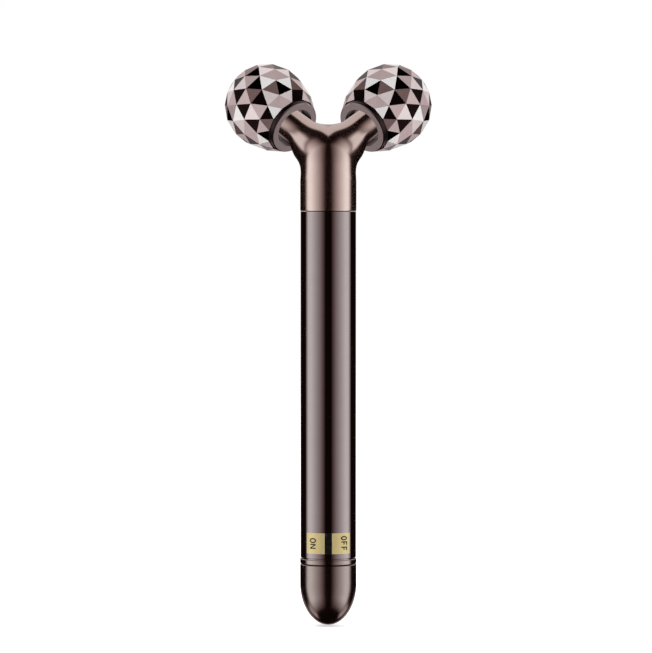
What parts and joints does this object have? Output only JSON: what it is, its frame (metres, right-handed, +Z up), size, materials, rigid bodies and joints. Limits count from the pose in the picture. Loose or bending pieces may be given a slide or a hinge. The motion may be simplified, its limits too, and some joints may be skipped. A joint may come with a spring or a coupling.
{
  "type": "facial toning roller",
  "caption": "Slim upright face massager with a Y-shaped fork, faceted rollers that spin freely on tilted axles, a round tube handle and a twist switch in the domed tail cap.",
  "frame": {"origin": "on the handle's axis at the seam between head and tube, the upper end of the grip", "axes": "+Z up the handle towards the rollers, -Y to the front where the label is, +X to the right seen from the front"},
  "size_m": [0.0638, 0.0404, 0.1711],
  "materials": {
    "fork_bronze": "satin champagne-bronze plating over a metal casting",
    "tube_mauve": "glossy dark mauve-grey anodised tube",
    "cap_bronze": "glossy dark bronze plating",
    "ball_mirror": "mirror-bright mauve plating on diamond-cut facets",
    "neck_ring_grey": "satin grey-mauve plating",
    "label_gold": "thin gold foil plate",
    "label_black": "black printed bar",
    "steel": "turned steel",
    "brass_contact": "bright brass",
    "white_plastic": "moulded plastic, natural white",
    "dark_plastic": "moulded plastic, dark grey",
    "o_ring_rubber": "black nitrile rubber",
    "cell_wrap": "plain green cell wrap, no print",
    "red_wire": "red insulated lead",
    "black_wire": "black insulated lead"
  },
  "bodies": {
    "handle": {"handle_tube": "tube_mauve", "trim_ring": "cap_bronze", "label_plates": "label_gold", "label_bar": "label_black", "battery_cell": "cell_wrap", "battery_terminals": "steel", "tail_spring": "steel", "spring_plate": "brass_contact", "tail_socket": "white_plastic", "tube_contact": "brass_contact"},
    "head": {"fork": "fork_bronze", "head_plug": "dark_plastic", "head_o_ring": "o_ring_rubber", "ground_ring": "brass_contact", "contact_carrier": "white_plastic", "battery_contact": "brass_contact", "motor_can": "steel", "motor_end_bell": "white_plastic", "motor_terminals": "brass_contact", "positive_lead": "red_wire", "ground_lead": "black_wire", "left_axle": "steel", "left_thrust_washer": "white_plastic", "left_end_washer": "steel", "left_axle_screw": "steel", "right_axle": "steel", "right_thrust_washer": "white_plastic", "right_end_washer": "steel", "right_axle_screw": "steel"},
    "motor_rotor": {"motor_shaft": "steel", "eccentric_weight": "steel"},
    "left_roller": {"left_roller_shell": "ball_mirror", "left_roller_ring": "neck_ring_grey", "left_roller_bush": "white_plastic"},
    "right_roller": {"right_roller_shell": "ball_mirror", "right_roller_ring": "neck_ring_grey", "right_roller_bush": "white_plastic"},
    "tail_cap": {"end_cap": "cap_bronze", "cap_core": "dark_plastic", "cap_o_ring": "o_ring_rubber", "cap_wiper": "brass_contact"}
  },
  "joints": [
    {"name": "head_pull", "type": "slide", "parent": "handle", "child": "head", "axis": [0, 0, 1], "range_m": [0, 0.032]},
    {"name": "left_roll", "type": "hinge", "parent": "head", "child": "left_roller", "pos_m": [-0.01883, 0.0188, 0.03232], "axis": [-0.6143, 0.6132, 0.4966], "continuous": true},
    {"name": "right_roll", "type": "hinge", "parent": "head", "child": "right_roller", "pos_m": [0.01883, 0.0188, 0.03232], "axis": [0.6143, 0.6132, 0.4966], "continuous": true},
    {"name": "motor_spin", "type": "hinge", "parent": "head", "child": "motor_rotor", "pos_m": [0, 0, -0.01], "axis": [0, 0, 1], "continuous": true},
    {"name": "cap_twist", "type": "hinge", "parent": "handle", "child": "tail_cap", "pos_m": [0, 0, -0.1073], "axis": [0, 0, -1], "range_deg": [0, 70]}
  ]
}
